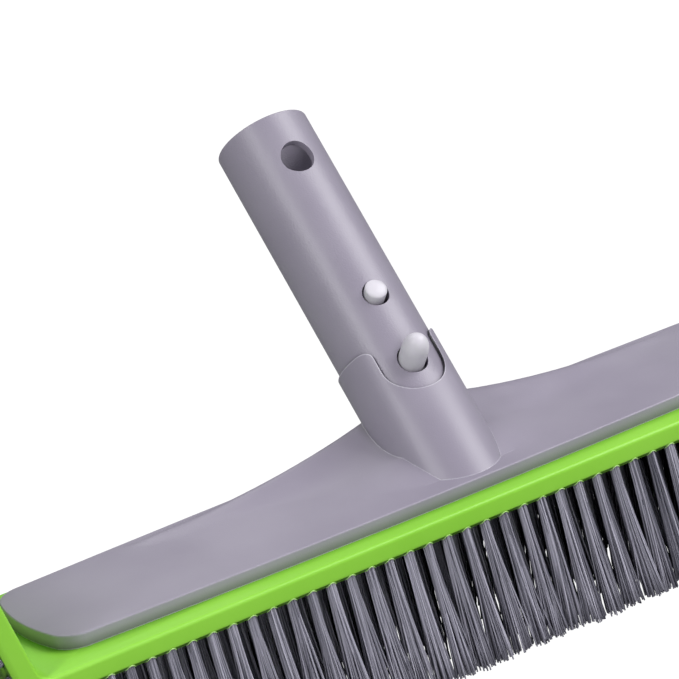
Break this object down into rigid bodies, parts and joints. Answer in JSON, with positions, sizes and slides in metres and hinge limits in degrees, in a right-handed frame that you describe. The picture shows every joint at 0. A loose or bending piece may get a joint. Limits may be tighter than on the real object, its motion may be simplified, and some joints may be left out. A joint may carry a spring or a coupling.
{
  "type": "pool wall brush",
  "caption": "Wide curved-end bristle brush for pool walls, with a reinforced back and an angled tube that snaps into a telescopic pole.",
  "frame": {"origin": "centre of the brushing face, under the middle tuft of the middle row", "axes": "+X along the brush, +Y towards the back, where the handle leans, +Z from the bristle tips up to the back plate"},
  "size_m": [0.3864, 0.1208, 0.1375],
  "materials": {
    "lime_plastic": "smooth moulded lime green plastic",
    "grey_satin": "satin grey, lightly textured",
    "bar_aluminium": "mill finish",
    "clip_steel": "stainless spring strip",
    "screw_steel": "stainless",
    "button_plastic": "off-white moulded plastic",
    "bristle": "grey polymer filament"
  },
  "bodies": {
    "brush": {"bristle_block": "lime_plastic", "reinforcement_bar": "bar_aluminium", "board_screws": "screw_steel", "back_plate": "grey_satin", "handle_tube": "grey_satin", "handle_plug": "bar_aluminium", "cross_pin": "screw_steel", "clip_bend": "clip_steel", "tuft_anchors": "screw_steel", "left_end_bristles": "bristle", "right_end_bristles": "bristle", "bristle_row_1": "bristle", "bristle_row_2": "bristle", "bristle_row_3": "bristle", "bristle_row_4": "bristle", "bristle_row_5": "bristle", "bristle_row_6": "bristle", "bristle_row_7": "bristle"},
    "front_arm": {"front_clip_leg": "clip_steel", "front_lock_pin": "button_plastic", "front_press_button": "button_plastic"},
    "rear_arm": {"rear_clip_leg": "clip_steel", "rear_lock_pin": "button_plastic", "rear_press_button": "button_plastic"}
  },
  "joints": [
    {"name": "front_press", "type": "hinge", "parent": "brush", "child": "front_arm", "pos_m": [0, 0.04414, 0.10188], "axis": [1, 0, 0], "range_deg": [0, 4.8], "stiffness_Nm_per_rad": 6, "springref_deg": -1.72},
    {"name": "rear_press", "type": "hinge", "parent": "brush", "child": "rear_arm", "pos_m": [0, 0.04669, 0.09964], "axis": [-1, 0, 0], "range_deg": [0, 4.8], "stiffness_Nm_per_rad": 6, "springref_deg": -1.72}
  ]
}
